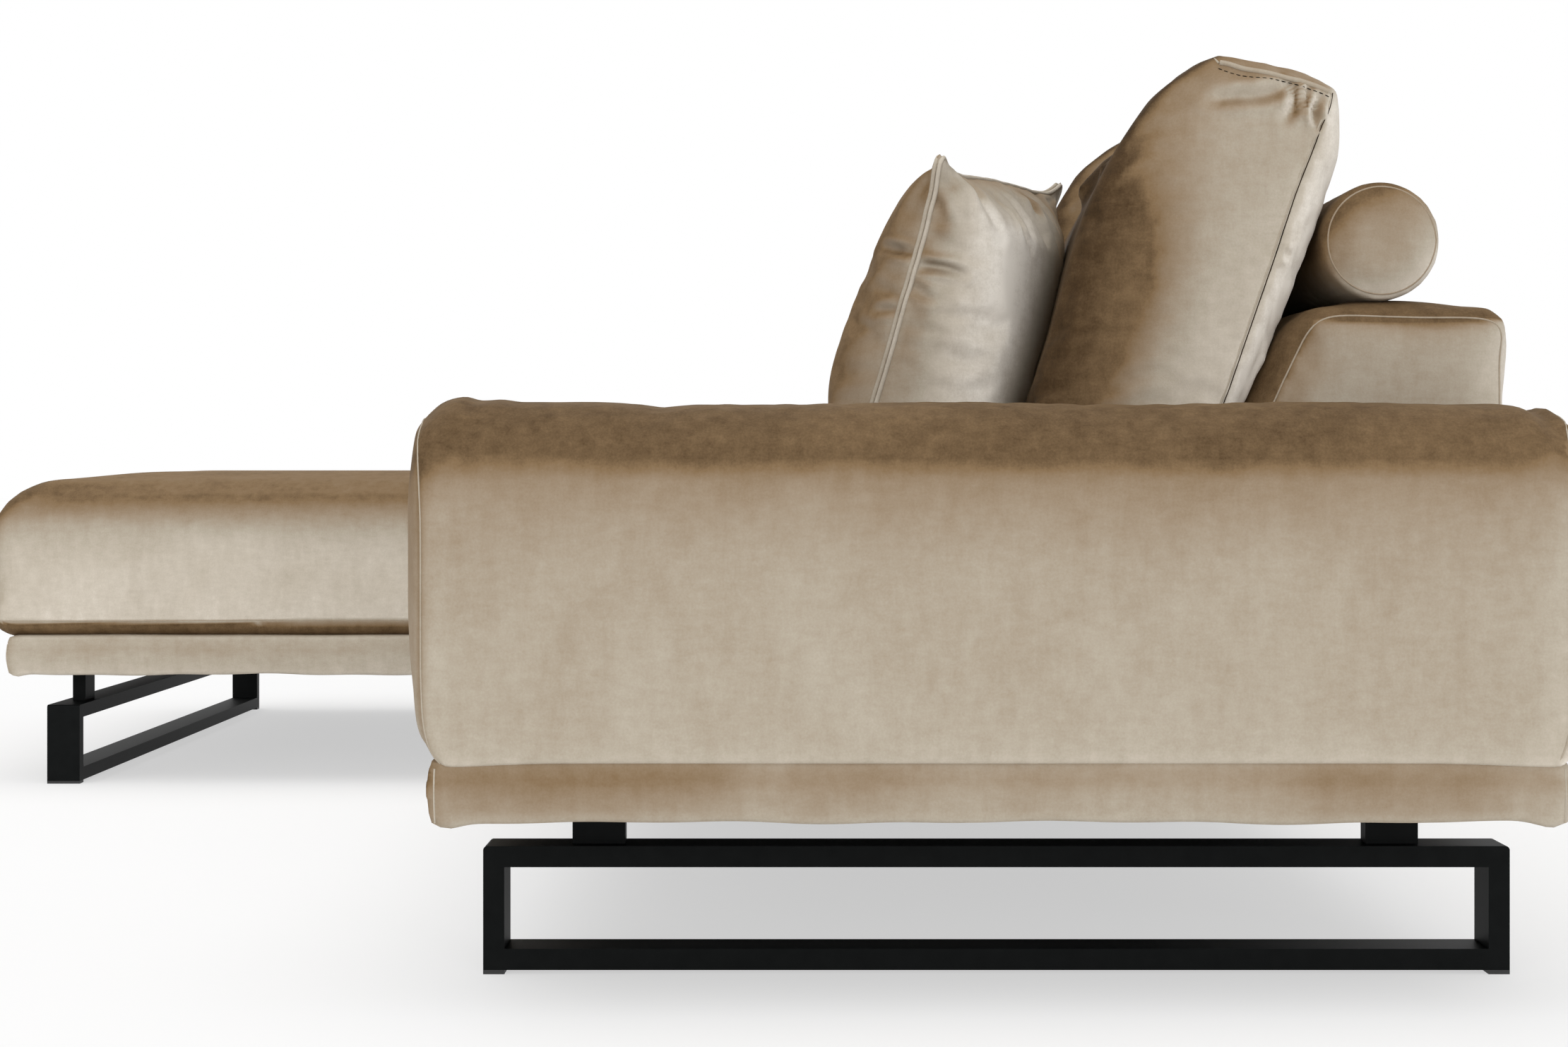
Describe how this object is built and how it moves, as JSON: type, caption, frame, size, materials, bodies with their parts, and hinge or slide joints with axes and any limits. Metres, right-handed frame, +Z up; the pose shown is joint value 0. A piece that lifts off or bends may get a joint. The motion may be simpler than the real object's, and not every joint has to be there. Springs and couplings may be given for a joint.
{
  "type": "lounge sofa",
  "caption": "Long low lounge sofa with a padded arm, a deep chaise, leaning loose cushions, a bolster and a throw pillow, on black tube sled legs.",
  "frame": {"origin": "on the floor, midway along the sofa and midway from the chaise front to the rear of the backrest", "axes": "+X along the sofa towards the arm, +Y towards the back, +Z up"},
  "size_m": [2.9213, 1.9498, 0.8896],
  "materials": {
    "velvet": "matte",
    "timber": "matte",
    "webbing": "matte",
    "dust_cloth": "matte",
    "foam": "matte",
    "black_metal": "satin",
    "black_plastic": "matte",
    "zinc_steel": "satin"
  },
  "bodies": {
    "sofa": {"arm_upholstery": "velvet", "main_back_upholstery": "velvet", "chaise_back_upholstery": "velvet", "main_front_base_panel": "velvet", "main_back_base_panel": "velvet", "main_arm_end_base_panel": "velvet", "chaise_front_base_panel": "velvet", "chaise_back_base_panel": "velvet", "chaise_outer_base_panel": "velvet", "chaise_inner_base_panel": "velvet", "main_seat_cushion_1": "velvet", "main_seat_cushion_2": "velvet", "chaise_seat_cushion": "velvet", "main_front_rail": "timber", "main_back_rail": "timber", "main_arm_end_rail": "timber", "main_joint_end_rail": "timber", "main_bearers": "timber", "chaise_front_rail": "timber", "chaise_back_rail": "timber", "chaise_inner_rail": "timber", "chaise_outer_rail": "timber", "chaise_bearers": "timber", "arm_frame": "timber", "main_back_frame": "timber", "chaise_back_frame": "timber", "joining_packers": "timber", "main_webbing": "webbing", "chaise_webbing": "webbing", "main_dust_cover": "dust_cloth", "chaise_dust_cover": "dust_cloth", "main_seat_foam_core_1": "foam", "main_seat_foam_core_2": "foam", "chaise_seat_foam_core": "foam", "arm_end_sled": "black_metal", "joint_end_sled": "black_metal", "chaise_front_sled": "black_metal", "chaise_rear_sled": "black_metal", "sled_risers": "black_metal", "sled_mounting_plates": "black_metal", "joining_plates": "black_metal", "sled_glides": "black_plastic", "sled_screws": "zinc_steel", "arm_bolts": "zinc_steel", "back_bolts": "zinc_steel", "joining_screws": "zinc_steel"},
    "back_cushion_1": {"back_cushion_1": "velvet"},
    "back_cushion_2": {"back_cushion_2": "velvet"},
    "back_cushion_3": {"back_cushion_3": "velvet"},
    "back_cushion_4": {"back_cushion_4": "velvet"},
    "bolster": {"bolster": "velvet"},
    "throw_pillow": {"throw_pillow": "velvet"}
  },
  "joints": [
    {"name": "back_cushion_1_lift", "type": "slide", "parent": "sofa", "child": "back_cushion_1", "axis": [0, 0, 1], "range_m": [0, 0.4]},
    {"name": "back_cushion_2_lift", "type": "slide", "parent": "sofa", "child": "back_cushion_2", "axis": [0, 0, 1], "range_m": [0, 0.4]},
    {"name": "back_cushion_3_lift", "type": "slide", "parent": "sofa", "child": "back_cushion_3", "axis": [0, 0, 1], "range_m": [0, 0.4]},
    {"name": "back_cushion_4_lift", "type": "slide", "parent": "sofa", "child": "back_cushion_4", "axis": [0, 0, 1], "range_m": [0, 0.4]},
    {"name": "bolster_lift", "type": "slide", "parent": "sofa", "child": "bolster", "axis": [0, 0.5, 0.866], "range_m": [0, 0.3]},
    {"name": "throw_pillow_lift", "type": "slide", "parent": "back_cushion_1", "child": "throw_pillow", "axis": [0, -0.5, 0.866], "range_m": [0, 0.3]}
  ]
}
